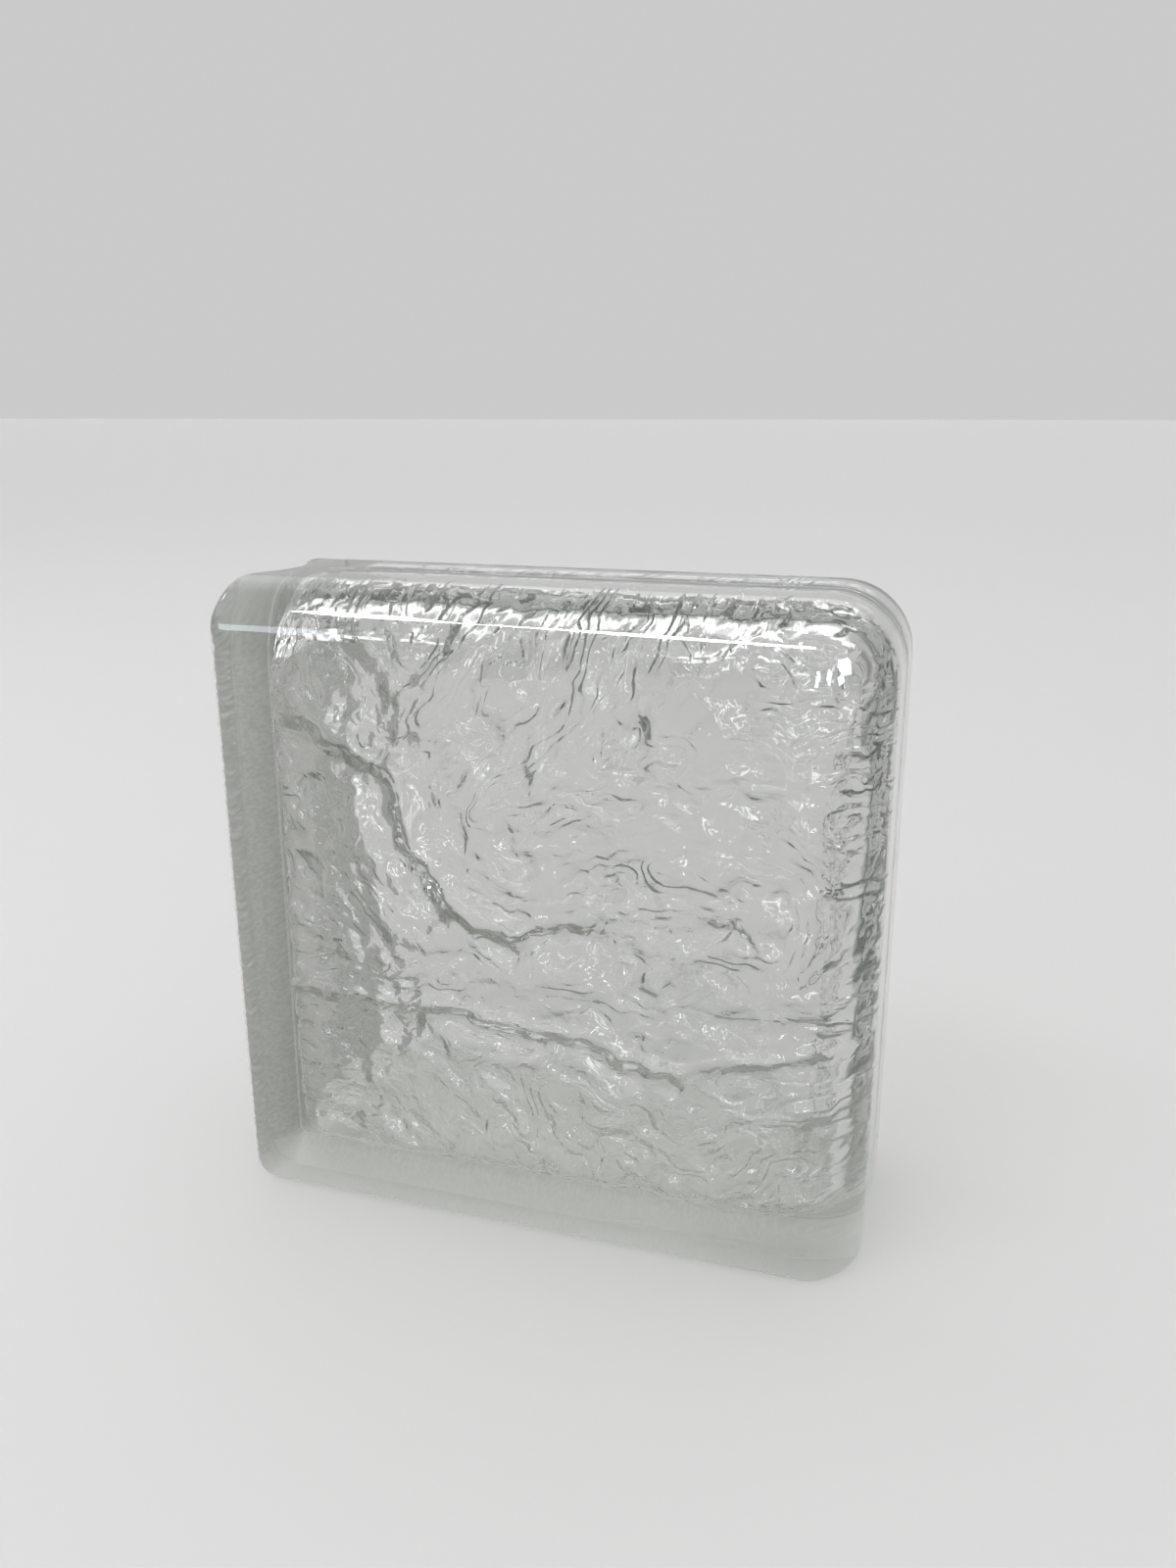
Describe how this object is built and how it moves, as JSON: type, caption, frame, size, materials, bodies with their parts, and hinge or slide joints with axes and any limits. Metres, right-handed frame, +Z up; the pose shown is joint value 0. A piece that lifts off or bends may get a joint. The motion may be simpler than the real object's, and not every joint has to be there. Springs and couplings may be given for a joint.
{
  "type": "glass block",
  "caption": "Hollow pressed glass block for walls, with an ice-relief interior, two mortar sides and two finished rounded sides meeting at a rounded corner.",
  "frame": {"origin": "under the middle of the block, on the plane of the bottom mortar side", "axes": "+X towards the finished side, +Y through the block from the front face to the back face, +Z up towards the finished top"},
  "size_m": [0.19, 0.08, 0.19],
  "materials": {
    "glass": "clear pressed glass, faintly green, polished outside and fire-polished inside"
  },
  "bodies": {
    "root": {"front_half": "glass", "back_half": "glass"}
  },
  "joints": []
}
